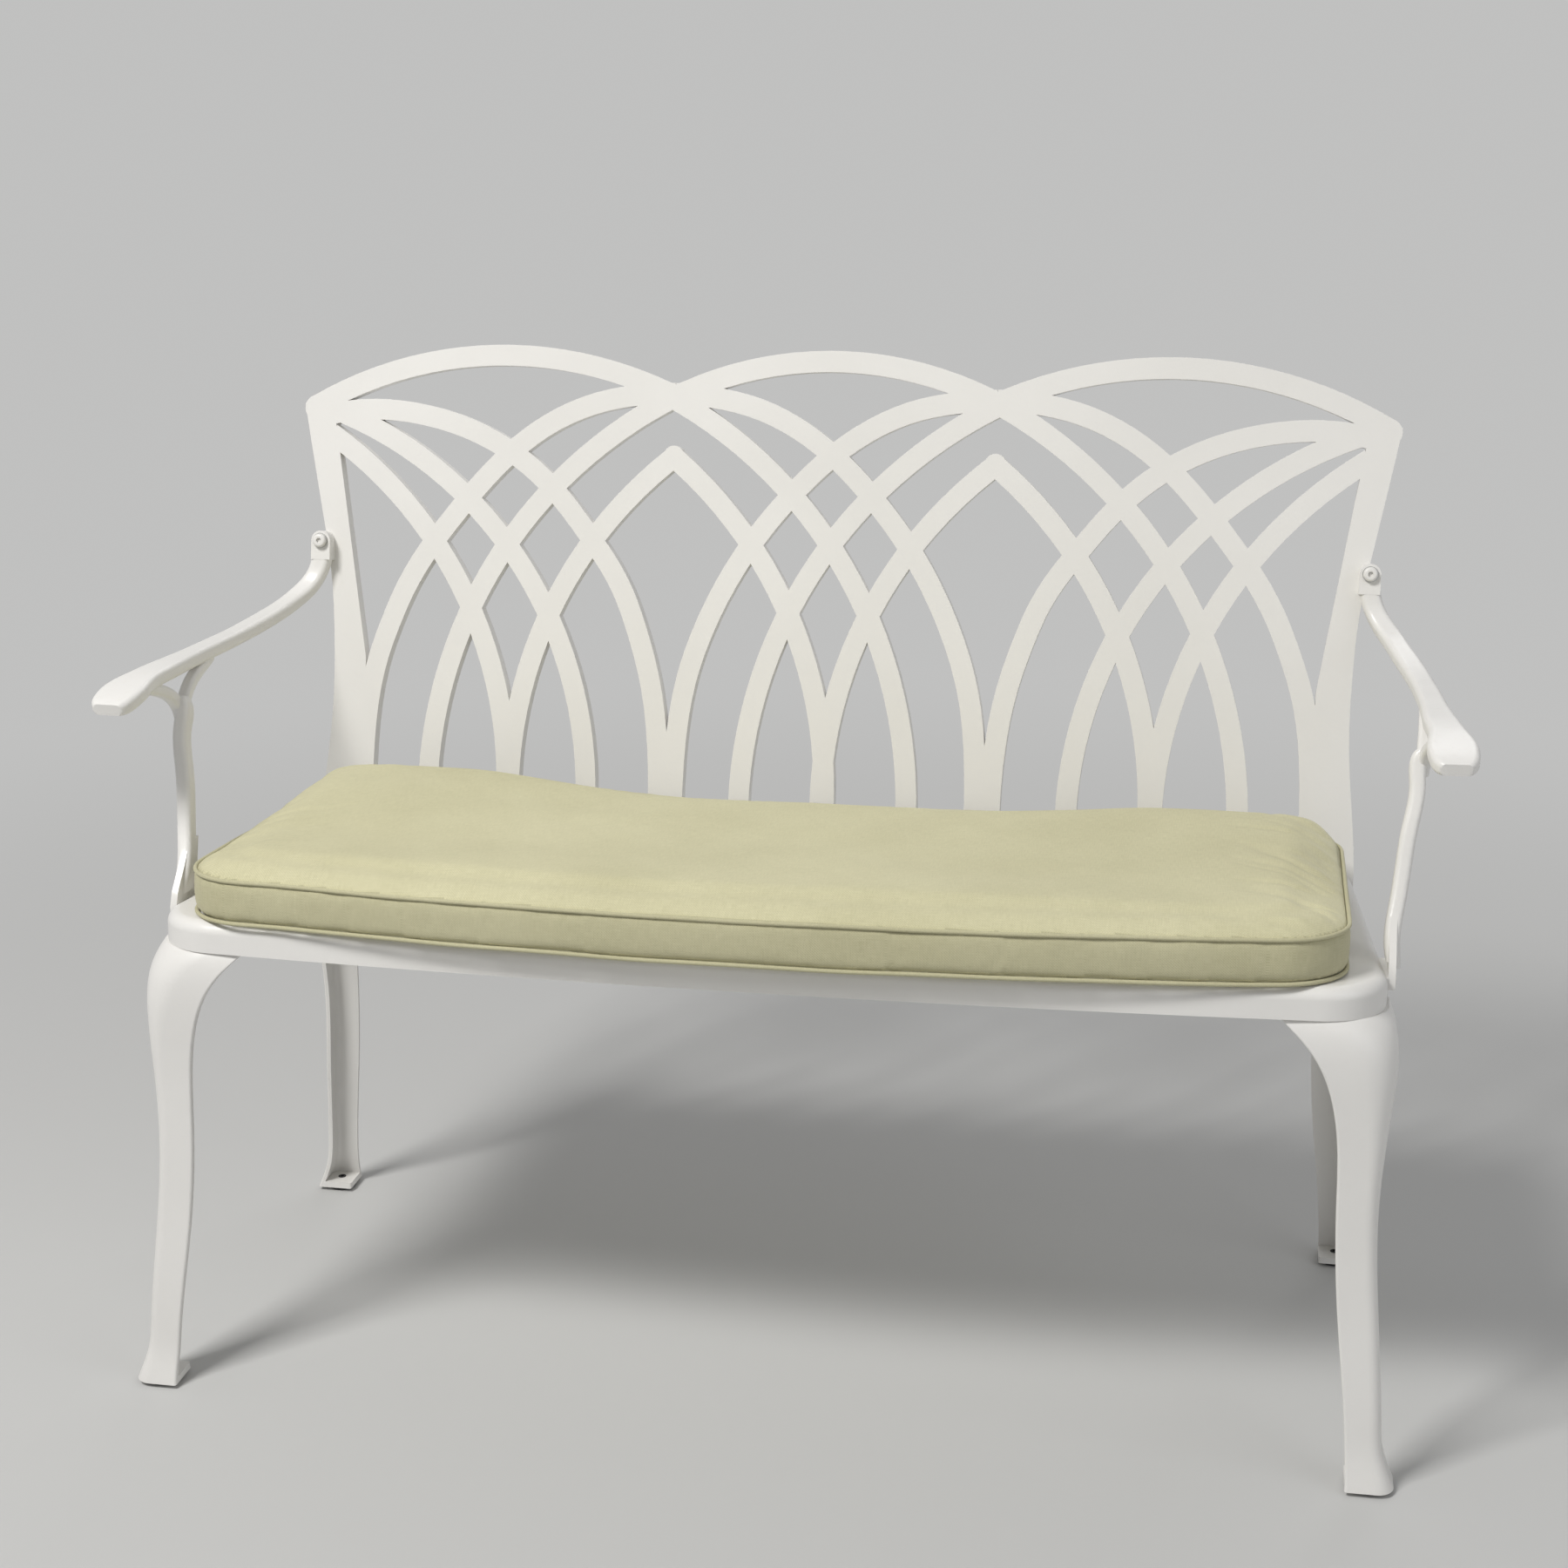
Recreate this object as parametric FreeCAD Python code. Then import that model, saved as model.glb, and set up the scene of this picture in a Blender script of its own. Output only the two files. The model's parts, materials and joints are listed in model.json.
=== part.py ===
import FreeCAD, Part
import math
import os

# Cast aluminium garden bench for two, with a loose boxed seat cushion.
# +Z up, the sitter faces -Y, +X is the long side. All sizes in mm.

# overall proportions
bayPitch = 316.4
seatTop = 435.5
apronDrop = 27.5
backLean = 11.0
seatTilt = 3.8
backFaceAtSeat = 210.0
panelRise = 30.87
panelThick = 14.0
barWidth = 20.5

# seat casting
seatHalfFront = 536.0
seatTaper = 24.0
seatFrontMiddle = -210.0
seatFrontCorner = -187.0
seatCornerRadius = 60.0
apronWall = 6.0
topPlate = 6.0
topEdgeRadius = 11.0
borderWidth = 46.0
slatWidth = 22.0
slatCount = 15
ribDepth = 14.0
ribWidth = 9.0
bossDia = 21.0

# legs
legTopSpan = 88.0
legTopDepth = 86.0
shankDepth = 23.0
legWall = 5.0
flangeThick = 6.0
footPlate = 6.0
glideHeight = 4.0
rearLegInset = 20.5
rearLegNarrower = 5.0
rearLegAhead = 14.0
kneeHigh = 163.0
legBoltIn = 63.0
legBoltStep = 32.0
glideStem = 8.0
glideDia = 28.0

# arms
armBoltHeight = 253.5
armBoltOut = 3.0
lugHalf = 9.8
lugThick = 15.0
armWidth = 21.0
armThick = 14.5
paddleWidth = 41.0
postAcross = 13.5
postAlong = 19.0
padInset = 2.5
padThick = 6.0
padBoltDia = 5.0
padBoltsAt = (-109.0, -84.0)
padBoltDrop = 17.9
padDrop = 22.5
padRise = 38.5

# fasteners
legBoltDia = 8.0
backBoltDia = 8.0
threadGap = 0.05
washerThick = 1.6

# cushion
cushionSideRoom = 37.0
cushionFrontMiddle = -233.0
cushionFrontCorner = -187.0
cushionRearRoom = 25.0
cushionRest = 0.3
cushionBoxing = 40.0
cushionCrown = 28.0
crownShoulder = 0.85
cushionFrontRadius = 66.0
cushionRearRadius = 55.0
coverThick = 3.0
foamGap = 0.3
pipingRadius = 2.6
pipingGap = 0.3
zipLength = 820.0
zipTapeHeight = 22.0

# heights measured up the slope of the back panel
panelFoot = -58.0
backBoltLevel = -47.5
backBoltIn = 26.0

lean = math.radians(backLean)
apronBottom = seatTop - apronDrop
halfBay = bayPitch / 2

# the back, the legs, the arms and the cushion take their places from the seat
seatDrop = (backFaceAtSeat - seatFrontCorner) * math.tan(math.radians(seatTilt))
panelLevel = seatTop - seatDrop + panelRise
seatHalfRear = seatHalfFront - seatTaper
middleLine = (seatFrontCorner + backFaceAtSeat - rearLegAhead) / 2
armBoltAcross = seatHalfRear + armBoltOut
padFace = seatHalfFront - padInset
padBoltLevel = seatTop - padBoltDrop
padLow = seatTop - padDrop
padTop = seatTop + padRise
cushionHalf = seatHalfFront - cushionSideRoom
cushionBack = backFaceAtSeat - cushionRearRoom


def V(x, y, z):
    return FreeCAD.Vector(x, y, z)


def boxAt(x0, x1, y0, y1, z0, z1):
    return Part.makeBox(x1 - x0, y1 - y0, z1 - z0, V(x0, y0, z0))


def mirrorX(shape):
    return shape.mirror(V(0, 0, 0), V(1, 0, 0))


def mirrorMiddle(shape):
    return shape.mirror(V(0, middleLine, 0), V(0, 1, 0))


def join(shapes):
    out = shapes[0].fuse(shapes[1:]) if len(shapes) > 1 else shapes[0]
    return out.removeSplitter()


def oneSolid(shape):
    solids = sorted(shape.Solids, key=lambda s: -s.Volume)
    return solids[0]


# the back panel is drawn flat as (u, v): u across, v up the slope from panelLevel,
# then tipped back so its front face passes backFaceAtSeat at that level
def tip(shape):
    placed = shape.copy()
    placed.rotate(V(0, 0, 0), V(1, 0, 0), -backLean)
    placed.translate(V(0, backFaceAtSeat, panelLevel))
    return placed


# the seat and what is bolted under it are drawn level, then dropped at the rear
def tilt(shape):
    placed = shape.copy()
    placed.rotate(V(0, seatFrontCorner, apronBottom), V(1, 0, 0), -seatTilt)
    return placed


# everything in front of the back panel's face, set forward by a gap
def aheadOfPanel(gap):
    keep = Part.makeBox(1400, 900, 1200, V(-700, -900, -600))
    keep.rotate(V(0, 0, 0), V(1, 0, 0), -backLean)
    keep.translate(V(0, backFaceAtSeat - gap, panelLevel))
    return keep


# everything under the seat's lower rim, set down by a gap
def underSeat(gap):
    return tilt(Part.makeBox(1400, 700, 700, V(-700, -350, apronBottom - 700 - gap)))


def plate(edges, y0, y1):
    face = Part.Face(Part.Wire(Part.sortEdges(edges)[0]))
    return face.extrude(V(0, y1 - y0, 0)).translated(V(0, y0, 0))


def smooth(points):
    curve = Part.BSplineCurve()
    curve.interpolate([V(u, 0, v) for u, v in points])
    return curve


# a flat bar of constant width that follows a centre curve
def barAlong(curve, width, steps=14):
    a, b = curve.FirstParameter, curve.LastParameter
    left = []
    right = []
    for i in range(steps + 1):
        t = a + (b - a) * i / steps
        p = curve.value(t)
        d = curve.tangent(t)[0]
        side = V(-d.z, 0, d.x) * (width / 2)
        left.append(p + side)
        right.append(p - side)
    edges = []
    for row in (left, right):
        line = Part.BSplineCurve()
        line.interpolate(row)
        edges.append(line.toShape())
    edges.append(Part.makeLine(left[0], right[0]))
    edges.append(Part.makeLine(left[-1], right[-1]))
    return plate(edges, 0, panelThick)


# a bar on a true circular arc from one height to another, then straight down
def barOnCircle(cu, cv, radius, uStart, side, width=barWidth):
    angle = math.acos(side * (uStart - cu) / radius)
    inner = radius - width / 2
    outer = radius + width / 2

    def at(r, a):
        return V(cu + side * r * math.cos(a), 0, cv + r * math.sin(a))
    edges = []
    for r in (inner, outer):
        edges.append(Part.Arc(at(r, 0), at(r, angle / 2), at(r, angle)).toShape())
    edges.append(Part.makeLine(at(inner, 0), at(outer, 0)))
    edges.append(Part.makeLine(at(inner, angle), at(outer, angle)))
    return plate(edges, 0, panelThick)


def uprightAt(u, top, width=barWidth):
    return boxAt(u - width / 2, u + width / 2, 0, panelThick, panelFoot, top)


def arch(p0, p1, p2, width=barWidth):
    mid = Part.Arc(V(p0[0], 0, p0[1]), V(p1[0], 0, p1[1]), V(p2[0], 0, p2[1]))
    return barAlong(mid, width, 8)


def backPanel():
    nodeLevel = 405.0
    crownLevel = 442.0
    cornerU = seatHalfRear + 13.5
    cornerV = 386.0
    bars = []
    # three scalloped top arches
    middleArch = arch((-halfBay, nodeLevel), (0, crownLevel), (halfBay, nodeLevel))
    outerCrown = (halfBay + cornerU) / 2 - 19.122
    outerArch = arch((halfBay, nodeLevel), (outerCrown, crownLevel), (cornerU, cornerV + 3))
    half = [outerArch]
    # from each valley: wide arc to the next column
    inner = smooth([(-halfBay, 408), (-halfBay + 40.2, 404.5), (-halfBay + 76.2, 397),
                    (-halfBay + 143.2, 363), (-halfBay + 203.2, 306), (-halfBay + 235.2, 265),
                    (-halfBay + 259.2, 226), (-halfBay + 281.7, 178), (-halfBay + 298.2, 126),
                    (-halfBay + 306.2, 72), (-halfBay + 308.7, 20)])
    outer = smooth([(halfBay, 408), (halfBay + 41.8, 405), (halfBay + 78.8, 397),
                    (halfBay + 145.3, 363), (halfBay + 203.8, 306), (halfBay + 233.8, 268.5),
                    (halfBay + 262.8, 226), (halfBay + 285.3, 178), (halfBay + 302.3, 126),
                    (halfBay + 310.3, 72), (halfBay + 312.8, 20)])
    half.append(barAlong(inner, barWidth))
    half.append(uprightAt(-halfBay + 308.7, 21))
    half.append(barAlong(outer, barWidth))
    half.append(uprightAt(halfBay + 312.3, 21))
    # second arc, ending at three quarters of a bay
    half.append(barOnCircle(-halfBay - 208.8, 3, 450.5, -halfBay, 1))
    half.append(uprightAt(-halfBay - 208.8 + 450.5, 4))
    half.append(barOnCircle(halfBay - 209.2, 2, 454, halfBay, 1))
    half.append(uprightAt(halfBay - 209.2 + 454, 3))
    # pointed arch with its own apex, ending at half a bay
    pointRise = 264.5
    pointRadius = 424.5
    half.append(barOnCircle(-halfBay - pointRise, 14, pointRadius, -halfBay, 1))
    half.append(uprightAt(-halfBay - pointRise + pointRadius, 15))
    half.append(Part.makeCylinder(barWidth / 2, panelThick, V(halfBay, 0, 347), V(0, 1, 0)))
    half.append(barOnCircle(halfBay - pointRise, 14, pointRadius, halfBay, 1))
    half.append(uprightAt(halfBay - pointRise + pointRadius, 15))
    # three arcs fanning in from the outer top corner
    fan = smooth([(cornerU, 376), (cornerU - 71.5, 386), (cornerU - 106.5, 382.5),
                  (cornerU - 172.5, 363), (cornerU - 213.5, 339.5), (cornerU - 251.5, 306),
                  (cornerU - 286.5, 263), (cornerU - 312.5, 226), (cornerU - 333.5, 178),
                  (cornerU - 349, 126), (cornerU - 357.5, 72), (cornerU - 360.5, 20)])
    half.append(barAlong(fan, barWidth, 18))
    half.append(uprightAt(cornerU - 360.5, 21))
    half.append(barOnCircle(cornerU + 113.5, 7, 400, cornerU - 2, -1))
    half.append(uprightAt(cornerU + 113.5 - 400, 8))
    half.append(barOnCircle(cornerU + 211.5, 12, 416, cornerU - 15.5, -1))
    half.append(uprightAt(cornerU + 211.5 - 416, 13))
    # rounded top corner and the waisted stile
    half.append(Part.makeCylinder(13, panelThick, V(cornerU, 0, cornerV), V(0, 1, 0)))
    stileOuter = Part.BSplineCurve()
    outline = [(1.5, panelFoot), (-1, 15), (-5, 52), (-8.5, 105), (-8, 160), (-5, 210), (6, 280), (20, 354),
               (26.5, 391)]
    stileOuter.interpolate([V(seatHalfRear + u, 0, v) for u, v in outline])
    stileTop = V(seatHalfRear + 26.5, 0, 391)
    stileTopIn = V(seatHalfRear - 4, 0, 386)
    waist = V(seatHalfRear - 41.5, 0, 138)
    stileFoot = V(seatHalfRear - 41.5, 0, panelFoot)
    stile = [stileOuter.toShape(), Part.makeLine(stileTop, stileTopIn), Part.makeLine(stileTopIn, waist),
             Part.makeLine(waist, stileFoot),
             Part.makeLine(stileFoot, V(seatHalfRear + 1.5, 0, panelFoot))]
    half.append(plate(stile, 0, panelThick))
    # ear behind the arm lug
    half.append(Part.makeCylinder(lugHalf, panelThick, V(armBoltAcross, 0, armBoltHeight), V(0, 1, 0)))
    half.append(boxAt(armBoltAcross - 22, armBoltAcross, 0, panelThick,
                      armBoltHeight - lugHalf, armBoltHeight + lugHalf))
    rightSide = join(half)
    bottomRail = boxAt(-seatHalfRear, seatHalfRear, 0, panelThick, panelFoot, 0)
    panel = join([rightSide, mirrorX(rightSide), middleArch, bottomRail])
    holes = []
    for u in backBoltsAt():
        holes.append(Part.makeCylinder(backBoltDia / 2 + threadGap, 60, V(u, -30, backBoltLevel), V(0, 1, 0)))
    for s in (-1, 1):
        holes.append(Part.makeCylinder(backBoltDia / 2 + threadGap, 60,
                                       V(s * armBoltAcross, -30, armBoltHeight), V(0, 1, 0)))
    for h in holes:
        panel = panel.cut(h)
    return tip(oneSolid(panel))


def backBoltsAt():
    last = seatHalfRear - backBoltIn
    return [-last, -last / 2, 0.0, last / 2, last]


# ---- seat ----
def seatOutline(inset, z0, z1, radius, rimRadius=0):
    hf = seatHalfFront - inset
    yf = seatFrontCorner + inset
    ym = seatFrontMiddle + inset
    yr = backFaceAtSeat + 50
    slope = (seatHalfFront - seatHalfRear) / (backFaceAtSeat - seatFrontCorner)
    hb = hf - slope * (yr - yf)
    edges = [Part.Arc(V(-hf, yf, z0), V(0, ym, z0), V(hf, yf, z0)).toShape(),
             Part.makeLine(V(hf, yf, z0), V(hb, yr, z0)),
             Part.makeLine(V(hb, yr, z0), V(-hb, yr, z0)),
             Part.makeLine(V(-hb, yr, z0), V(-hf, yf, z0))]
    block = Part.Face(Part.Wire(edges)).extrude(V(0, 0, z1 - z0))
    uprights = [e for e in block.Edges if e.BoundBox.ZLength > (z1 - z0) * 0.9 and e.BoundBox.YMax < 0]
    block = block.makeFillet(radius, uprights)
    if rimRadius:
        rim = [e for e in block.Edges if e.BoundBox.ZLength < 0.01 and abs(e.BoundBox.ZMax - z1) < 0.01
               and e.BoundBox.YMin < yr - 1]
        block = block.makeFillet(rimRadius, rim)
    # dropped at the rear, and trimmed to lie flat against the back panel
    return tilt(block).common(aheadOfPanel(inset))


def legBolts():
    spots = []
    for s in (-1, 1):
        near = seatHalfFront - legBoltIn
        front = seatFrontCorner + 30
        for bx, by in ((near, front), (near + legBoltStep, front + 33)):
            spots.append((s * bx, by))
            spots.append((s * (bx - rearLegInset), 2 * middleLine - by))
    return spots


def seatPanel():
    skin = seatOutline(0, apronBottom, seatTop, seatCornerRadius, topEdgeRadius)
    hollow = seatOutline(apronWall, apronBottom - 5, seatTop - topPlate, seatCornerRadius - apronWall)
    seat = skin.cut(hollow)
    window = seatOutline(borderWidth, seatTop - topPlate - 5, seatTop + 5, 26)
    yRear = backFaceAtSeat + 90
    pitch = 2 * (seatHalfRear - borderWidth) / (slatCount + 1)
    for i in range(1, slatCount + 1):
        x = -(seatHalfRear - borderWidth) + pitch * i
        window = window.cut(boxAt(x - slatWidth / 2, x + slatWidth / 2, -300, yRear,
                                  apronBottom - 100, seatTop + 100))
    seat = seat.cut(window)
    ribs = []
    for y in (-75.0, 78.0):
        ribs.append(boxAt(-seatHalfRear + 2, seatHalfRear - 2, y - ribWidth / 2, y + ribWidth / 2,
                          seatTop - topPlate - ribDepth, seatTop - 2.5))
    for x, y in legBolts():
        ribs.append(Part.makeCylinder(bossDia / 2, seatTop - 3 - apronBottom, V(x, y, apronBottom)))
    ribs = [tilt(r) for r in ribs]
    for s in (-1, 1):
        x0, x1 = sorted((s * (seatHalfFront - 18), s * padFace))
        ribs.append(boxAt(x0, x1, padBoltsAt[0] - 13, padBoltsAt[1] + 13, padBoltLevel - 10, padBoltLevel + 6))
    seat = join([seat] + ribs)
    for x, y in legBolts():
        seat = seat.cut(tilt(Part.makeCylinder(legBoltDia / 2 + threadGap, 22, V(x, y, apronBottom - 2))))
    for s in (-1, 1):
        for y in padBoltsAt:
            seat = seat.cut(Part.makeCylinder(padBoltDia / 2 + threadGap, 60,
                                              V(s * (seatHalfFront - 40), y, padBoltLevel), V(s, 0, 0)))
    for u in backBoltsAt():
        hole = Part.makeCylinder(backBoltDia / 2 + threadGap, 40, V(u, -30, backBoltLevel), V(0, 1, 0))
        seat = seat.cut(tip(hole))
    return oneSolid(seat)


# ---- legs ----
# one station of the leg: height, inner side, outer side, front, depth, corner radius;
# the knee above mid height is squeezed to meet a lower seat at the rear
def legStations(top):
    outerTop = -3.0
    kneeBase = apronBottom - kneeHigh
    shank = [(glideHeight, -18, 23, -42, 36, 15), (14, -18, 19, -39, 32, 12),
             (32, -19, 13, -34, 27, 10), (60, -21, 10, -30, shankDepth, 9.5),
             (kneeBase - 95, -31, 3, -18, shankDepth, 9.5), (kneeBase, -37, -2, -11, shankDepth + 2, 10.5)]
    knee = [(55, -39, 1, -10, 30, 14), (95, -45.5, 5, -11, 42, 22), (125, -57, 7.5, -11, 60, 34),
            (145, -71.5, 5, -9, 74, 44), (kneeHigh, outerTop - legTopSpan, outerTop, -2.5, legTopDepth, 58)]
    squeeze = (top - kneeBase) / kneeHigh
    rows = shank + [(kneeBase + k[0] * squeeze,) + k[1:] for k in knee]
    return [(z, seatHalfFront + x0, seatHalfFront + x1, seatFrontCorner + y0, depth, radius)
            for z, x0, x1, y0, depth, radius in rows]


def legRing(z, x0, x1, y0, y1, radius, small):
    k = math.sqrt(0.5)
    c = (x1 - radius, y0 + radius)
    edges = [Part.makeLine(V(x0 + small, y0, z), V(x1 - radius, y0, z)),
             Part.Arc(V(x1 - radius, y0, z), V(c[0] + radius * k, c[1] - radius * k, z),
                      V(x1, y0 + radius, z)).toShape(),
             Part.makeLine(V(x1, y0 + radius, z), V(x1, y1 - small, z)),
             Part.Arc(V(x1, y1 - small, z), V(x1 - small + small * k, y1 - small + small * k, z),
                      V(x1 - small, y1, z)).toShape(),
             Part.makeLine(V(x1 - small, y1, z), V(x0 + small, y1, z)),
             Part.Arc(V(x0 + small, y1, z), V(x0 + small - small * k, y1 - small + small * k, z),
                      V(x0, y1 - small, z)).toShape(),
             Part.makeLine(V(x0, y1 - small, z), V(x0, y0 + small, z)),
             Part.Arc(V(x0, y0 + small, z), V(x0 + small - small * k, y0 + small - small * k, z),
                      V(x0 + small, y0, z)).toShape()]
    return Part.Wire(edges)


def legCasting(rear):
    top = apronBottom
    if rear:
        top = apronBottom - 2 * (middleLine - seatFrontCorner - legTopDepth) * math.tan(math.radians(seatTilt)) - 4
    outside = []
    inside = []
    for z, x0, x1, y0, depth, radius in legStations(top):
        if rear:
            x0 = x0 + rearLegNarrower
        outside.append(legRing(z, x0, x1, y0, y0 + depth, radius, 2.2))
        inside.append(legRing(z, x0 - 24, x1 - legWall, y0 + legWall, y0 + depth + 24,
                              radius - legWall, 2.2))
    leg = Part.makeLoft(outside, True, False)
    hollow = Part.makeLoft(inside, True, False)
    hollow = hollow.common(boxAt(seatHalfFront - 236, seatHalfFront + 84, -300, 0,
                                 glideHeight + footPlate, seatTop))
    if rear:
        leg = mirrorMiddle(leg).translated(V(-rearLegInset, 0, 0))
        hollow = mirrorMiddle(hollow).translated(V(-rearLegInset, 0, 0))
    leg = leg.common(underSeat(0)).cut(hollow.common(underSeat(flangeThick)))
    for x, y in legBolts():
        if x > 0 and (y > 0) == rear:
            leg = leg.cut(tilt(Part.makeCylinder(legBoltDia / 2 + 0.2, 30, V(x, y, apronBottom - 20))))
    gx, gy = glideSpot()
    hole = Part.makeCylinder(glideStem / 2, 30, V(gx, gy, 0))
    leg = leg.cut(toRear(hole) if rear else hole)
    return oneSolid(leg)


def glideSpot():
    z, x0, x1, y0, depth, radius = legStations(apronBottom)[0]
    return (x0 + x1) / 2, y0 + depth / 2 + 1


# nylon foot with a hollow stem pressed into the foot plate
def glide():
    gx, gy = glideSpot()
    pad = Part.makeCylinder(glideDia / 2, glideHeight, V(gx, gy, 0))
    pad = pad.makeFillet(1.2, [e for e in pad.Edges if e.BoundBox.ZMax < 0.1])
    stem = Part.makeCylinder(glideStem / 2, footPlate + 1.0, V(gx, gy, glideHeight - 0.5))
    core = Part.makeCylinder(glideStem / 2 - 2.0, footPlate, V(gx, gy, glideHeight + 1.5))
    return pad.fuse(stem).cut(core)


def toRear(shape):
    return mirrorMiddle(shape).translated(V(-rearLegInset, 0, 0))


# ---- arms ----
# rounded bar section standing square to the path at one point
def ringAcross(centre, ahead, across, width, thick, corner):
    n = V(*ahead)
    n.normalize()
    side = V(*across)
    side = side - n * side.dot(n)
    side.normalize()
    up = n.cross(side)
    c = V(*centre)
    k = math.sqrt(0.5)
    a = width / 2
    b = thick / 2
    r = min(corner, a - 0.4, b - 0.4)

    def at(s, t):
        return c + side * s + up * t
    edges = []
    for sx, sy, turn in ((1, 1, 0), (-1, 1, 1), (-1, -1, 0), (1, -1, 1)):
        cx = sx * (a - r)
        cy = sy * (b - r)
        p = at(cx + sx * r, cy)
        m = at(cx + sx * r * k, cy + sy * r * k)
        q = at(cx, cy + sy * r)
        if turn:
            p, q = q, p
        edges.append((p, m, q))
    wire = []
    for i, (p, m, q) in enumerate(edges):
        wire.append(Part.Arc(p, m, q).toShape())
        wire.append(Part.makeLine(q, edges[(i + 1) % 4][0]))
    return Part.Wire(wire)


def barThrough(stations, across):
    rings = []
    count = len(stations)
    for i, (x, y, z, w, t) in enumerate(stations):
        a = stations[max(i - 1, 0)]
        b = stations[min(i + 1, count - 1)]
        ahead = (b[0] - a[0], b[1] - a[1], b[2] - a[2])
        rings.append(ringAcross((x, y, z), ahead, across, w, t, min(w, t) * 0.36))
    return Part.makeLoft(rings, True, False)


def rightArm():
    boltZ = panelLevel + armBoltHeight * math.cos(lean)
    boltY = backFaceAtSeat + armBoltHeight * math.sin(lean)
    # upright lug in front of the stile, drawn flat and tipped back with the panel
    lug = Part.makeCylinder(lugHalf, lugThick, V(armBoltAcross, -lugThick, armBoltHeight), V(0, 1, 0))
    lug = lug.fuse(boxAt(armBoltAcross - lugHalf, armBoltAcross + lugHalf, -lugThick, 0,
                         armBoltHeight - 19, armBoltHeight))
    lug = tip(lug)
    ly = boltY - lugThick / 2
    # the bar leaves the lug outward and down, and its rear half keeps its place behind the seat
    path = [(armBoltAcross, ly - 1.5, boltZ - 8, 19.4, 14.5),
            (armBoltAcross + 1.2, ly - 3.5, boltZ - 18, 19.4, 14.8),
            (armBoltAcross + 5.5, ly - 7, boltZ - 31, 18.8, 15)]
    for x, y, z, w, t in [(12.5, 26, 206, 19, 15), (21, 12, 196.5, 19.5, 14.8),
                          (28.5, -11, 189.5, armWidth - 1, armThick),
                          (35, -40, 185, armWidth, armThick), (40.5, -72, 182, armWidth, armThick),
                          (44.5, -105, 180.5, armWidth, armThick)]:
        path.append((armBoltAcross + x, backFaceAtSeat + y, panelLevel + z, w, t))
    # its front half and the paddle keep theirs above the pad
    for x, y, z, w, t in [(29.5, 144, 180.5, armWidth + 1, armThick), (32, 89, 181.5, armWidth + 3, armThick),
                          (34.5, 39, 182.5, armWidth + 8, armThick), (38, 4, 181.5, paddleWidth - 8, armThick),
                          (40, -23, 178.5, paddleWidth, armThick), (41, -42, 175, paddleWidth - 1, armThick),
                          (41.5, -53, 172.5, paddleWidth - 6, armThick - 1),
                          (41.7, -59.5, 171, paddleWidth - 16, armThick - 4)]:
        path.append((padFace + x, padBoltsAt[1] + y, panelLevel + z, w, t))
    bar = barThrough(path, (1, 0, 0))
    py = padBoltsAt[1]
    fork = (padFace + 22.5, py + 54, panelLevel + 152)
    post = barThrough([(padFace + 4.5, py - 14, padLow + 11, postAcross - 2, postAlong + 3),
                       (padFace + 3, py - 8, padLow + 27, postAcross - 0.5, postAlong + 2),
                       (padFace + 3, py - 1, padLow + 41, postAcross, postAlong + 1),
                       (padFace + 5.5, py + 8, padLow + 58, postAcross, postAlong),
                       (padFace + 9.5, py + 21, panelLevel + 60, postAcross, postAlong),
                       (padFace + 13.5, py + 32, panelLevel + 92, postAcross, postAlong),
                       (padFace + 18.5, py + 45, panelLevel + 128, postAcross, postAlong),
                       (fork[0], fork[1], fork[2] + 4, postAcross - 1, postAlong - 2)], (1, 0, 0))
    ahead = barThrough([(fork[0] - 0.4, fork[1] - 2, fork[2] - 14, 11.5, 13),
                        (fork[0] + 2, fork[1] - 11, fork[2] + 4, 11.5, 12),
                        (fork[0] + 6, fork[1] - 32, fork[2] + 17, 12, 11),
                        (fork[0] + 10, fork[1] - 58, fork[2] + 25, 12.5, 10)], (1, 0, 0))
    behind = barThrough([(fork[0] - 0.6, fork[1] - 1, fork[2] - 14, 11.5, 13),
                         (fork[0] + 1, fork[1] + 16, fork[2] + 4, 11.5, 12),
                         (fork[0] + 3, fork[1] + 44, fork[2] + 15, 12, 11),
                         (fork[0] + 5, fork[1] + 80, fork[2] + 22.5, 12.5, 10)], (1, 0, 0))
    # flat pad bolted to the outside of the seat, flaring slightly at its lower end
    y0 = padBoltsAt[0] - 12
    y1 = padBoltsAt[1] + 12
    seatHere = seatTop - (padBoltsAt[0] - seatFrontCorner) * math.tan(math.radians(seatTilt)) + 1.5
    pad = Part.makePolygon([V(padFace, y0, padLow), V(padFace, y1, padLow), V(padFace, y1, seatHere - 4),
                            V(padFace, y1 + 3, seatHere + 14), V(padFace, y1 + 10, padTop), V(padFace, y1 - 11, padTop),
                            V(padFace, y0 + 22, seatHere + 22), V(padFace, y0 + 6, seatHere + 5),
                            V(padFace, y0, seatHere - 8), V(padFace, y0, padLow)])
    pad = Part.Face(pad).extrude(V(padThick, 0, 0))
    arm = join([lug, bar, post, ahead, behind, pad])
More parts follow.
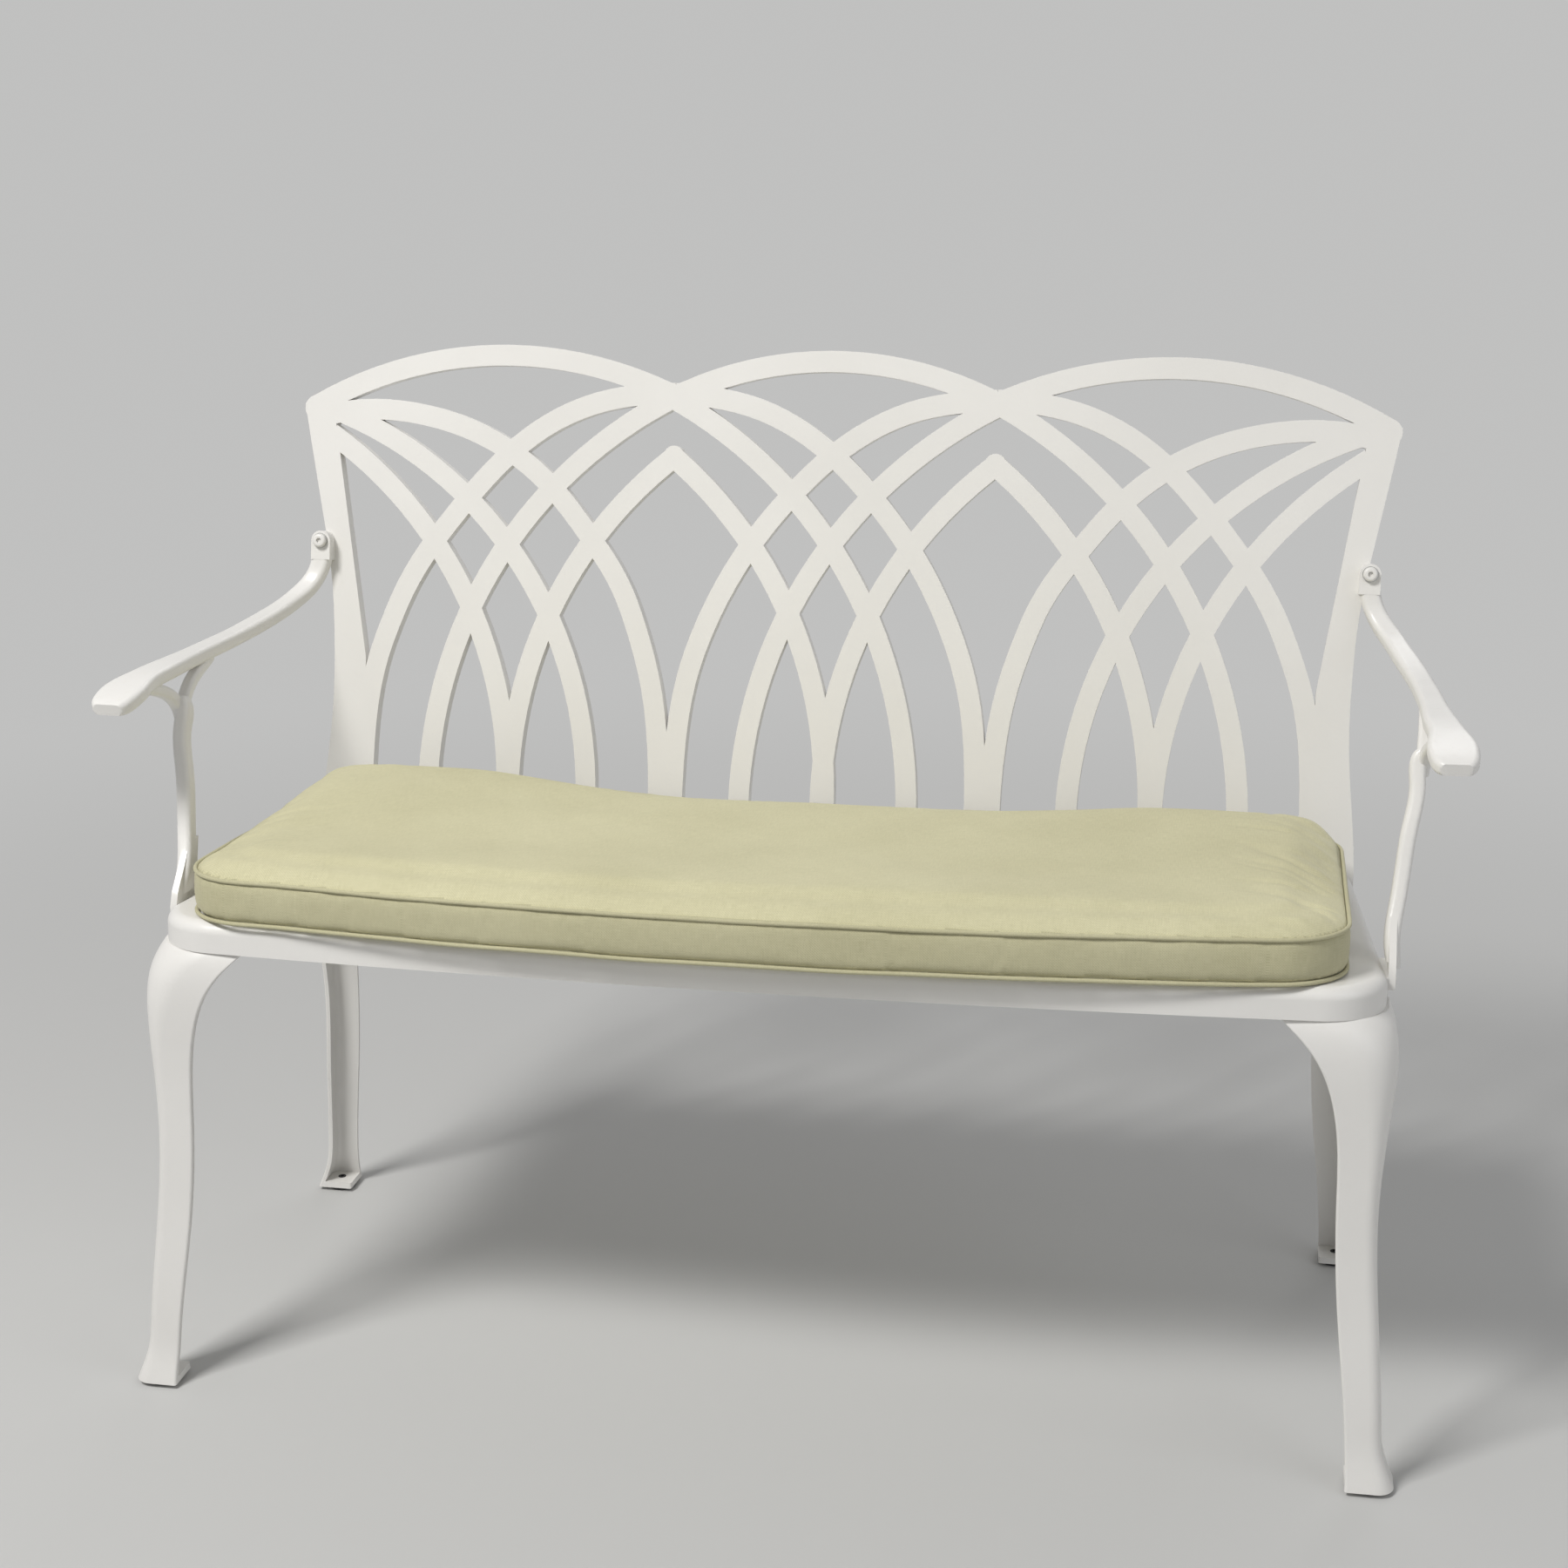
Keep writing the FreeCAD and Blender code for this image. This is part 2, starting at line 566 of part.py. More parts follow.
    # the mating plane against the seat stays flat
    arm = arm.cut(boxAt(padFace - 30, padFace, y0 - 5, y1 + 5, padLow - 25, seatHere))
    arm = arm.common(boxAt(padFace - 140, padFace + 160, -400, backFaceAtSeat + 190, padLow, panelLevel + 460))
    arm = arm.common(aheadOfPanel(0))
    stud = Part.makeCylinder(backBoltDia / 2 + threadGap, 60, V(armBoltAcross, -40, armBoltHeight), V(0, 1, 0))
    arm = arm.cut(tip(stud))
    for y in padBoltsAt:
        arm = arm.cut(Part.makeCylinder(padBoltDia / 2 + threadGap, 40, V(padFace - 5, y, padBoltLevel), V(1, 0, 0)))
        arm = arm.cut(Part.makeCylinder(padBoltDia, 30, V(padFace + padThick - 1.5, y, padBoltLevel), V(1, 0, 0)))
    return oneSolid(arm)


# ---- fasteners ----
def hexPrism(acrossFlats, height, base, axis):
    r = acrossFlats / math.sqrt(3)
    pts = [V(r * math.cos(math.radians(60 * i)), r * math.sin(math.radians(60 * i)), 0) for i in range(7)]
    solid = Part.Face(Part.makePolygon(pts)).extrude(V(0, 0, height))
    turn = FreeCAD.Rotation(V(0, 0, 1), axis)
    solid.Placement = FreeCAD.Placement(base, turn)
    return solid


# button head screw: base is the underside of the head, axis points from head to tip
def buttonScrew(dia, length, base, axis):
    headDia = dia * 1.7
    headHigh = dia * 0.55
    back = axis * -1
    head = Part.makeCylinder(headDia / 2, headHigh, base, back)
    rimEdges = [e for e in head.Edges if (e.CenterOfMass - base).dot(back) > headHigh - 0.05]
    head = head.makeFillet(headHigh * 0.6, rimEdges)
    shank = Part.makeCylinder(dia / 2, length, base, axis)
    socket = hexPrism(dia * 0.6, headHigh * 0.6, base + back * (headHigh * 0.42), back)
    return head.fuse(shank).cut(socket)


def ringAt(outer, inner, thick, base, axis):
    return Part.makeCylinder(outer / 2, thick, base, axis).cut(
        Part.makeCylinder(inner / 2, thick * 3, base - axis * thick, axis))


def nutAt(dia, base, axis):
    nut = hexPrism(dia * 1.62, dia * 0.8, base, axis)
    return nut.cut(Part.makeCylinder(dia / 2 + threadGap, dia * 2, base - axis * (dia / 2), axis))


def hardware():
    up = V(0, 0, 1)
    rearward = V(0, 1, 0)
    forward = V(0, -1, 0)
    out = {"leg_bolts": [], "leg_washers": [], "back_bolts": [], "back_washers": [], "back_nuts": [],
           "arm_bolts": [], "arm_washers": [], "arm_nuts": [], "arm_pad_bolts": [], "arm_pad_nuts": []}
    for x, y in legBolts():
        seatFace = V(x, y, apronBottom - flangeThick)
        out["leg_washers"].append(tilt(ringAt(16, legBoltDia + 0.2, washerThick, seatFace - up * washerThick, up)))
        out["leg_bolts"].append(tilt(buttonScrew(legBoltDia, 24, seatFace - up * washerThick, up)))
    for u in backBoltsAt():
        face = V(u, panelThick, backBoltLevel)
        out["back_washers"].append(tip(ringAt(18, backBoltDia + 0.2, washerThick, face, rearward)))
        reach = washerThick + panelThick + apronWall + backBoltDia * 0.8 + 2
        out["back_bolts"].append(tip(buttonScrew(backBoltDia, reach, face + rearward * washerThick, forward)))
        out["back_nuts"].append(tip(nutAt(backBoltDia, V(u, -apronWall, backBoltLevel), forward)))
    for s in (-1, 1):
        front = V(s * armBoltAcross, -lugThick, armBoltHeight)
        out["arm_washers"].append(tip(ringAt(15, backBoltDia + 0.2, washerThick, front + forward * washerThick, rearward)))
        reach = washerThick + lugThick + panelThick + backBoltDia * 0.8 + 1
        out["arm_bolts"].append(tip(buttonScrew(backBoltDia, reach, front + forward * washerThick, rearward)))
        out["arm_nuts"].append(tip(nutAt(backBoltDia, V(s * armBoltAcross, panelThick, armBoltHeight), rearward)))
        for y in padBoltsAt:
            inward = V(-s, 0, 0)
            headFace = V(s * (padFace + padThick - 1.5), y, padBoltLevel)
            wallFace = V(s * (seatHalfFront - 18), y, padBoltLevel)
            reach = abs(headFace.x - wallFace.x) + padBoltDia * 0.8 + 2
            out["arm_pad_bolts"].append(buttonScrew(padBoltDia, reach, headFace, inward))
            out["arm_pad_nuts"].append(nutAt(padBoltDia, wallFace, inward))
    return out


# ---- cushion ----
def cushionBlock(inset, z0, z1):
    h = cushionHalf - inset
    f = cushionFrontCorner + inset
    b = cushionBack - inset
    edges = [Part.Arc(V(-h, f, z0), V(0, cushionFrontMiddle + inset, z0), V(h, f, z0)).toShape(),
             Part.makeLine(V(h, f, z0), V(h, b, z0)), Part.makeLine(V(h, b, z0), V(-h, b, z0)),
             Part.makeLine(V(-h, b, z0), V(-h, f, z0))]
    block = Part.Face(Part.Wire(edges)).extrude(V(0, 0, z1 - z0))
    for radius, ahead in ((cushionFrontRadius, True), (cushionRearRadius, False)):
        corners = [e for e in block.Edges if e.BoundBox.ZLength > (z1 - z0) * 0.9
                   and (e.BoundBox.YMax < -50) == ahead and e.BoundBox.XLength < 0.01
                   and abs(abs(e.BoundBox.XMax) - h) < 0.01]
        block = block.makeFillet(max(radius - inset, 5), [e for e in corners if abs(
            e.BoundBox.YMax - (f if ahead else b)) < 0.01])
    return block


def roundedLoop(inset, z):
    block = cushionBlock(inset, z, z + 5)
    lowest = min(block.Faces, key=lambda face: face.CenterOfMass.z)
    return lowest.OuterWire


def pillow(inset, z0, z1, crown):
    sides = cushionBlock(inset, z0, z1)
    top = Part.makeLoft([roundedLoop(inset, z1), roundedLoop(inset + 30, z1 + crown * crownShoulder),
                         roundedLoop(inset + 75, z1 + crown)], True, True)
    return sides.fuse(top).removeSplitter()


# cord running round the seam at one level
def cordAround(level, radius):
    spine = roundedLoop(-1.6, level)
    start = spine.Edges[0].valueAt(spine.Edges[0].FirstParameter)
    ahead = spine.Edges[0].tangentAt(spine.Edges[0].FirstParameter)
    circle = Part.Wire(Part.makeCircle(radius, start, ahead))
    return spine.makePipeShell([circle], True, True)


def cushionParts():
    low = seatTop + cushionRest
    high = low + cushionBoxing
    outer = pillow(0, low, high, cushionCrown)
    core = pillow(coverThick, low + coverThick, high - coverThick, cushionCrown)
    foam = pillow(coverThick + foamGap, low + coverThick + foamGap, high - coverThick - foamGap,
                  cushionCrown)
    cover = outer.cut(core)
    cords = []
    for level in (low + pipingRadius + 0.1, high - 2.0):
        cords.append(cordAround(level, pipingRadius))
        cover = cover.cut(cordAround(level, pipingRadius + pipingGap))
    # zip along the back boxing
    zipLevel = low + cushionBoxing / 2 + 0.5
    tape = boxAt(-zipLength / 2, zipLength / 2, cushionBack, cushionBack + 0.9,
                 zipLevel - zipTapeHeight / 2, zipLevel + zipTapeHeight / 2)
    teeth = boxAt(-zipLength / 2 + 6, zipLength / 2 - 6, cushionBack + 0.5, cushionBack + 3.4,
                  zipLevel - 1.8, zipLevel + 1.8)
    tape = tape.fuse(teeth).removeSplitter()
    sx = zipLength / 2 - 22
    gap = 0.25
    slider = boxAt(sx - 6, sx + 6, cushionBack + 0.9 + gap, cushionBack + 5.6, zipLevel - 5, zipLevel + 5)
    slider = slider.cut(boxAt(sx - 10, sx + 10, cushionBack, cushionBack + 3.4 + gap,
                              zipLevel - 1.8 - gap, zipLevel + 1.8 + gap))
    bridge = boxAt(sx - 1.6, sx + 1.6, cushionBack + 5.2, cushionBack + 10.2, zipLevel - 3.2, zipLevel + 4.6)
    axisY = cushionBack + 7.8
    bridge = bridge.cut(Part.makeCylinder(1.3, 10, V(sx - 5, axisY, zipLevel + 2.2), V(1, 0, 0)))
    slider = slider.fuse(bridge).removeSplitter()
    pin = Part.makeCylinder(1.25, 7.6, V(sx - 3.8, axisY, zipLevel + 2.2), V(1, 0, 0))
    cheeks = []
    for s in (-1, 1):
        x0, x1 = sorted((sx + s * 2.0, sx + s * 3.8))
        cheeks.append(boxAt(x0, x1, axisY - 1.2, axisY + 1.2, zipLevel - 7.5, zipLevel + 3.4))
    tab = boxAt(sx - 3.8, sx + 3.8, axisY - 1.2, axisY + 1.2, zipLevel - 16.5, zipLevel - 4.6)
    pull = join([pin, tab] + cheeks)
    return {"cushion_cover": cover, "cushion_foam": foam, "cushion_piping_bottom": cords[0],
            "cushion_piping_top": cords[1], "cushion_zip": tape, "zip_slider": slider, "zip_pull": pull}


# ---- assemble ----
parts = {}
parts["back_panel"] = backPanel()
parts["seat_panel"] = seatPanel()
for place in ("front", "rear"):
    leg = legCasting(place == "rear")
    parts["leg_" + place + "_right"] = leg
    parts["leg_" + place + "_left"] = mirrorX(leg)
foot = glide()
parts["glide_front_right"] = foot
parts["glide_front_left"] = mirrorX(foot)
parts["glide_rear_right"] = toRear(foot)
parts["glide_rear_left"] = mirrorX(toRear(foot))
arm = rightArm()
parts["arm_right"] = arm
parts["arm_left"] = mirrorX(arm)
for name, solids in hardware().items():
    parts[name] = Part.makeCompound(solids)
for name, solid in cushionParts().items():
    parts[name] = tilt(solid)

# the origin is on the floor under the middle of the whole bench
whole = Part.makeCompound(list(parts.values())).BoundBox
shift = V(-(whole.XMin + whole.XMax) / 2, -(whole.YMin + whole.YMax) / 2, -whole.ZMin)
os.makedirs("parts", exist_ok=True)
for name in sorted(parts):
    shape = parts[name].copy()
    shape.translate(shift)
    shape.exportStep("parts/" + name + ".step")
    print(name, len(shape.Solids), shape.isValid(), round(shape.Volume), shape.BoundBox)
print("shift", shift, "overall", whole.XLength, whole.YLength, whole.ZLength)
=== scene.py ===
import json
import math

import bmesh
import bpy
from mathutils import Matrix, Vector, noise
from mathutils.kdtree import KDTree


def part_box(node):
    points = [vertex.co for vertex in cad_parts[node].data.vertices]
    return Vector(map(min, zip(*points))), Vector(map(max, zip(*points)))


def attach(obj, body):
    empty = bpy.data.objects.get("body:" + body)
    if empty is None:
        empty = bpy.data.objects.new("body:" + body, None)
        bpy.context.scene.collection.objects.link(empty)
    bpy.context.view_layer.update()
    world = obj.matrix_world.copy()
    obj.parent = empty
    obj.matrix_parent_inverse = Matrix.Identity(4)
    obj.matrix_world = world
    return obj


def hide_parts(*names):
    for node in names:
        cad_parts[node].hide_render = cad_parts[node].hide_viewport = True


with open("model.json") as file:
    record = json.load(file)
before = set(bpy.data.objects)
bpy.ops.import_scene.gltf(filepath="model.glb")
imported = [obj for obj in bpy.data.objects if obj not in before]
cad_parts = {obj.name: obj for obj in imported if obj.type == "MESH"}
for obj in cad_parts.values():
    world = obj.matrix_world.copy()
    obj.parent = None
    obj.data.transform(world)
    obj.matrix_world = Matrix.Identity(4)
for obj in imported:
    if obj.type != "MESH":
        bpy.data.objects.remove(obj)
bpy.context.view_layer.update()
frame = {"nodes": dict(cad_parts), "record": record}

scene = bpy.context.scene
nodes = frame["nodes"]
print("frame loaded:", len(nodes), "CAD pieces")


def startMaterial(name):
    mat = bpy.data.materials.new(name)
    mat.use_nodes = True
    tree = mat.node_tree
    return mat, tree, tree.nodes["Principled BSDF"]


# an input is named by its label with _ for a space, or by its number as i0, i1 and so on
def feed(tree, node, **inputs):
    for key, value in inputs.items():
        byNumber = key[0] == "i" and key[1:].isdigit()
        socket = node.inputs[int(key[1:]) if byNumber else key.replace("_", " ")]
        if isinstance(value, bpy.types.NodeSocket):
            tree.links.new(value, socket)
        else:
            socket.default_value = value


def add(tree, kind, settings=None, **inputs):
    node = tree.nodes.new(kind)
    for key, value in (settings or {}).items():
        setattr(node, key, value)
    feed(tree, node, **inputs)
    return node


def ramp(tree, fac, stops):
    node = tree.nodes.new("ShaderNodeValToRGB")
    tree.links.new(fac, node.inputs[0])
    bar = node.color_ramp
    while len(bar.elements) < len(stops):
        bar.elements.new(0.5)
    for element, (place, colour) in zip(bar.elements, stops):
        element.position = place
        element.color = (*colour, 1) if len(colour) == 3 else colour
    return node.outputs[0]


def remap(tree, value, low, high, fromLow=0.0, fromHigh=1.0):
    node = add(tree, "ShaderNodeMapRange", i0=value, i1=fromLow, i2=fromHigh, i3=low, i4=high)
    return node.outputs[0]


def calc(tree, operation, a, b=0.0):
    return add(tree, "ShaderNodeMath", {"operation": operation}, i0=a, i1=b).outputs[0]


def objectPlace(tree):
    return add(tree, "ShaderNodeTexCoord").outputs["Object"]


def noiseOn(tree, coords, scale, detail=2.0, rough=0.5):
    node = add(tree, "ShaderNodeTexNoise", Vector=coords, Scale=scale, Detail=detail, Roughness=rough)
    return node.outputs["Fac"]


def stretched(tree, coords, scale):
    return add(tree, "ShaderNodeMapping", Vector=coords, Scale=scale).outputs[0]


def mixColour(tree, share, first, second, blend="MIX"):
    settings = {"data_type": "RGBA", "blend_type": blend}
    return add(tree, "ShaderNodeMix", settings, i0=share, i6=first, i7=second).outputs[2]


# a bump on the shader; under is the bump that lies below it
def bump(tree, shader, height, strength, distance, under=None):
    node = add(tree, "ShaderNodeBump", Height=height, Strength=strength, Distance=distance)
    if under is not None:
        tree.links.new(under, node.inputs["Normal"])
    tree.links.new(node.outputs[0], shader.inputs["Normal"])
    return node.outputs[0]


def toned(colour, tone):
    return tuple(c * tone for c in colour)


# powder coat on the castings
paint = {
    "light": (0.795, 0.782, 0.757),
    "shade": (0.750, 0.737, 0.710),
    "dust": (0.640, 0.600, 0.520),
    "roughness": (0.30, 0.42),
    "orangePeel": 0.00018,   # depths in metres
    "castGrain": 0.00007,
    "clearCoat": 0.08,
    "clearCoatRoughness": 0.22,
}


def powderCoat(name, tone=1.0):
    mat, tree, shader = startMaterial(name)
    place = objectPlace(tree)
    broad = noiseOn(tree, place, 5.0, 3.0)
    fine = noiseOn(tree, place, 420.0, 3.0, 0.6)
    body = ramp(tree, broad, [(0.30, toned(paint["shade"], tone)), (0.72, toned(paint["light"], tone))])
    # a little dust caught on faces that look up, broken into specks
    normal = add(tree, "ShaderNodeNewGeometry").outputs["Normal"]
    up = add(tree, "ShaderNodeSeparateXYZ", Vector=normal).outputs[2]
    specks = remap(tree, noiseOn(tree, place, 160.0, 4.0, 0.7), 0.0, 1.0, 0.56, 0.74)
    dusty = calc(tree, "MULTIPLY", specks, remap(tree, up, 0.04, 0.20, 0.2, 1.0))
    rough = remap(tree, noiseOn(tree, place, 38.0, 3.0), *paint["roughness"], 0.3, 0.7)
    feed(tree, shader, Base_Color=mixColour(tree, dusty, body, (*paint["dust"], 1)), Roughness=rough,
         Coat_Weight=paint["clearCoat"], Coat_Roughness=paint["clearCoatRoughness"], IOR=1.48)
    peel = bump(tree, shader, noiseOn(tree, place, 260.0, 1.5), 0.35, paint["orangePeel"])
    bump(tree, shader, fine, 0.25, paint["castGrain"], peel)
    return mat


# woven cloth of the cushion
cloth = {
    "light": (0.668, 0.636, 0.425),
    "dark": (0.534, 0.506, 0.318),
    # painted shade: colour that darkens the hollows of the weave
    "hollow": (0.86, 0.86, 0.84),
    "boxing": 0.84,          # painted shade: the side strip is the top cloth toned darker, for the weaker light on its upright face
    # painted shade: the cords are toned darker than the top cloth, for the shade along and under them
    "piping": 0.84,
    "pipingThread": 0.0009,
    "pipingTurn": 45,        # the cord's strip is cut on the bias
    "thread": 0.0011,
    "weaveDepth": 0.00022,
    "yarnDepth": 0.00025,
    "sheen": 0.22,
    "sheenTint": (0.95, 0.93, 0.80, 1),
}


def wovenCloth(name, tone=1.0, thread=cloth["thread"], turn=0.0):
    mat, tree, shader = startMaterial(name)
    uv = add(tree, "ShaderNodeUVMap", {"uv_map": "cloth"}).outputs[0]
    turned = add(tree, "ShaderNodeMapping", Vector=uv, Rotation=(0, 0, math.radians(turn))).outputs[0]
    across = add(tree, "ShaderNodeSeparateXYZ", Vector=turned)
    beat = math.pi / thread
    warp = calc(tree, "SINE", calc(tree, "MULTIPLY", across.outputs[0], beat))
    weft = calc(tree, "SINE", calc(tree, "MULTIPLY", across.outputs[1], beat))
    weave = remap(tree, calc(tree, "MULTIPLY", warp, weft), 0.0, 1.0, -1.0, 1.0)
    # uneven yarn: noise drawn out along each thread direction
    slubU = noiseOn(tree, stretched(tree, turned, (90, 900, 1)), 1.0, 2.0, 0.6)
    slubV = noiseOn(tree, stretched(tree, turned, (900, 90, 1)), 1.0, 2.0, 0.6)
    slub = calc(tree, "MULTIPLY", calc(tree, "ADD", slubU, slubV), 0.5)
    patches = noiseOn(tree, objectPlace(tree), 7.0, 3.0, 0.55)
    heather = calc(tree, "ADD", calc(tree, "MULTIPLY", slub, 0.62), calc(tree, "MULTIPLY", patches, 0.38))
    colour = ramp(tree, heather, [(0.36, toned(cloth["dark"], tone)), (0.64, toned(cloth["light"], tone))])
    # painted shade: the hollows of the weave are darkened in the base colour, on top of the weave's bump
    shading = ramp(tree, weave, [(0.0, cloth["hollow"]), (0.55, (1, 1, 1))])
    feed(tree, shader, Base_Color=mixColour(tree, 1.0, colour, shading, "MULTIPLY"),
         Roughness=remap(tree, slub, 0.78, 0.95, 0.35, 0.65), Specular_IOR_Level=0.25,
         Sheen_Weight=cloth["sheen"], Sheen_Roughness=0.45, Sheen_Tint=cloth["sheenTint"])
    woven = bump(tree, shader, weave, 0.45, cloth["weaveDepth"])
    bump(tree, shader, slub, 0.35, cloth["yarnDepth"], woven)
    return mat


def nylon(name, colour):
    mat, tree, shader = startMaterial(name)
    place = objectPlace(tree)
    grain = noiseOn(tree, place, 600.0, 3.0)
    feed(tree, shader, Base_Color=ramp(tree, grain, [(0.3, toned(colour, 0.8)), (0.7, colour)]),
         Roughness=remap(tree, noiseOn(tree, place, 120.0), 0.42, 0.6, 0.3, 0.7))
    bump(tree, shader, grain, 0.4, 0.00008)
    return mat


def bareMetal(name, colour, rough, brushed=(1, 1, 1)):
    mat, tree, shader = startMaterial(name)
    place = objectPlace(tree)
    lines = noiseOn(tree, stretched(tree, place, brushed), 300.0, 3.0, 0.6)
    tarnish = noiseOn(tree, place, 60.0, 3.0)
    both = calc(tree, "MULTIPLY", calc(tree, "ADD", lines, tarnish), 0.5)
    feed(tree, shader, Base_Color=ramp(tree, both, [(0.35, toned(colour, 0.78)), (0.65, colour)]),
         Roughness=remap(tree, lines, rough - 0.07, rough + 0.1, 0.3, 0.7), Metallic=1.0)
    bump(tree, shader, lines, 0.3, 0.00005)
    return mat


finishes = {
    "frame_paint": powderCoat("powder_coat"),
    "painted_bolts": powderCoat("powder_coat_screws", 0.97),
    "fasteners": bareMetal("zinc_plate", (0.62, 0.62, 0.60), 0.34),
    "glide_nylon": nylon("black_nylon", (0.035, 0.035, 0.037)),
    "cushion_fabric": wovenCloth("cushion_cloth"),
    "foam": nylon("foam_core", (0.80, 0.76, 0.60)),
    "zip_tape": nylon("zip_tape_weave", (0.40, 0.37, 0.22)),
    "zip_metal": bareMetal("zip_alloy", (0.66, 0.63, 0.55), 0.3, (1, 8, 1)),
}
# the boxing's cloth is toned darker: painted shade
boxingClothPaintedShade = wovenCloth("boxing_cloth_painted_shade", cloth["boxing"])
# the cords' cloth is toned darker: painted shade
pipingClothPaintedShade = wovenCloth("piping_cloth_painted_shade", cloth["piping"], cloth["pipingThread"], cloth["pipingTurn"])
slotOf = {s["node"]: s["material_slot"] for s in frame["record"]["subparts"]}
for name, piece in nodes.items():
    piece.data.materials.clear()
    piece.data.materials.append(finishes[slotOf[name]])
print("finishes on the CAD pieces")


# softened edges of the castings: the bevel's width in metres and its steps
edges = {"weld": 0.00002, "angle": 50, "flatness": 90}
softEdges = {
    "back_panel": (0.0022, 3), "seat_panel": (0.0010, 2), "arm_left": (0.0006, 2), "arm_right": (0.0006, 2),
    "arm_bolts": (0.0004, 2), "arm_nuts": (0.0003, 1), "zip_slider": (0.0003, 2), "zip_pull": (0.0003, 2),
}
for name, (width, steps) in softEdges.items():
    piece = nodes[name]
    weld = piece.modifiers.new("weld", "WELD")
    weld.merge_threshold = edges["weld"]
    edge = piece.modifiers.new("soft edge", "BEVEL")
    edge.width = width
    edge.segments = steps
    edge.limit_method = "ANGLE"
    edge.angle_limit = math.radians(edges["angle"])
    edge.use_clamp_overlap = True
    even = piece.modifiers.new("even shading", "WEIGHTED_NORMAL")
    even.mode = "FACE_AREA"
    even.weight = edges["flatness"]
print("casting edges softened")


# the loose cushion, shaped on the level and turned back to the seat's slope at the end
cushion = {
    "tilt": 3.8,             # slope of the seat under it, degrees; every length is in metres
    "ringSteps": 900,        # steps of the seam line
    "voxel": 0.0062,
    "boxing": 0.0375,        # height between the two seams
    "coverOut": 0.0033,      # cover outside the foam
    "pipingRadius": 0.0019,
    "cordOut": 0.0002,
    "cordSides": 10,
    "frontCrown": 0.015,
    "rearCrown": 0.019,
    "rearEndCrown": 0.034,
    "rightCrownShare": 0.55,
    "shoulder": 0.034,       # distance over which the top rises from its seam
    "rim": 0.0020,           # outermost ring drawn onto the seam itself
    "drawn": 0.03,           # depth to which the cover is drawn outwards
    "held": 0.12,            # share of the boxing, at each seam, that does not puff
    "grooveIn": 0.036,
    "grooveDeep": 0.0024,
    "lipIn": 0.017,
    "lipHigh": 0.0013,
    "bulge": 0.0016,
    "creases": 0.0032,
    "tuck": 0.0011,
    "fullEnd": 0.0050,
    "coreIn": 0.006,         # foam inside the cloth
}
low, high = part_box("cushion_cover")
centre = (low + high) / 2
levelTurn = (Matrix.Translation(centre) @ Matrix.Rotation(math.radians(cushion["tilt"]), 4, "X")
             @ Matrix.Translation(-centre))
seatTurn = levelTurn.inverted()


def smoothStep(value, start, end):
    t = min(max((value - start) / (end - start), 0.0), 1.0)
    return t * t * (3 - 2 * t)


def levelCopy(node):
    form = bmesh.new()
    form.from_mesh(nodes[node].data)
    bmesh.ops.remove_doubles(form, verts=form.verts, dist=edges["weld"])
    form.transform(levelTurn)
    return form


# the outline of a form at a level, as evenly spaced steps, and its length
def outlineAt(form, level, count):
    cut = form.copy()
    got = bmesh.ops.bisect_plane(cut, geom=cut.verts[:] + cut.edges[:] + cut.faces[:], dist=0.000001,
                                 plane_co=(0, 0, level), plane_no=(0, 0, 1))
    ring = {e for e in got["geom_cut"] if isinstance(e, bmesh.types.BMEdge)}
    edge = min(ring, key=lambda e: (e.verts[0].co + e.verts[1].co).yx[:])
    here = edge.verts[0]
    walk = [here.co.xy.copy()]
    while edge:
        ring.discard(edge)
        here = edge.other_vert(here)
        walk.append(here.co.xy.copy())
        edge = next((e for e in here.link_edges if e in ring), None)
    cut.free()
    spans = [(b - a).length for a, b in zip(walk, walk[1:])]
    total = sum(spans)
    even = []
    at = 0
    gone = 0.0
    for i in range(count):
        want = total * i / count
        while gone + spans[at] < want:
            gone += spans[at]
            at += 1
        even.append(walk[at].lerp(walk[at + 1], (want - gone) / spans[at]))
    if sum(a.x * b.y - b.x * a.y for a, b in zip(even, even[1:] + even[:1])) < 0:
        even.reverse()
    for _ in range(3):
        even = [(even[i - 1] + even[i] * 2 + even[(i + 1) % count]) / 4 for i in range(count)]
    return even, total


ringCount = cushion["ringSteps"]
foamForm = levelCopy("cushion_foam")
foamLow = min(v.co.z for v in foamForm.verts)
foamTop = max(v.co.z for v in foamForm.verts)
baseLevel = foamLow - cushion["coverOut"]
outline, girth = outlineAt(foamForm, foamLow + 0.015, ringCount)
outward = []
for i in range(ringCount):
    step = outline[(i + 1) % ringCount] - outline[i - 1]
    outward.append(Vector((step.y, -step.x)).normalized())
edgeLine = [p + n * cushion["coverOut"] for p, n in zip(outline, outward)]
# the cover is stuffed a little harder into its left end
coverOut = []
for i, n in enumerate(outward):
    leftEnd = smoothStep(-edgeLine[i].x, 0.40, 0.49)
    full = leftEnd * (1 - smoothStep(edgeLine[i].y, -0.10, 0.02)) * cushion["fullEnd"]
    edgeLine[i] += n * full
    coverOut.append(cushion["coverOut"] + full)
frontY = min(p.y for p in edgeLine)
rearY = max(p.y for p in edgeLine)
halfX = max(p.x for p in edgeLine)
bottomSeam = baseLevel + cushion["pipingRadius"] + 0.0002
topSeam = bottomSeam + cushion["boxing"]
finder = KDTree(ringCount)
for i, p in enumerate(edgeLine):
    finder.insert((p.x, p.y, 0), i)
finder.balance()


# each seam wanders a little along its length, and its cord with it
upperSeed = 1.5
lowerSeed = 6.5


def wave(i, seed, size=0.0007):
    angle = 2 * math.pi * i / ringCount
    return size * noise.noise(Vector((math.cos(angle) * 5, math.sin(angle) * 5, seed)))


# how far a spot lies inside the seam line, and which step of the line is nearest
def insideBy(x, y):
    i = finder.find((x, y, 0))[1]
    p = edgeLine[i]
    return -((x - p.x) * outward[i].x + (y - p.y) * outward[i].y), i


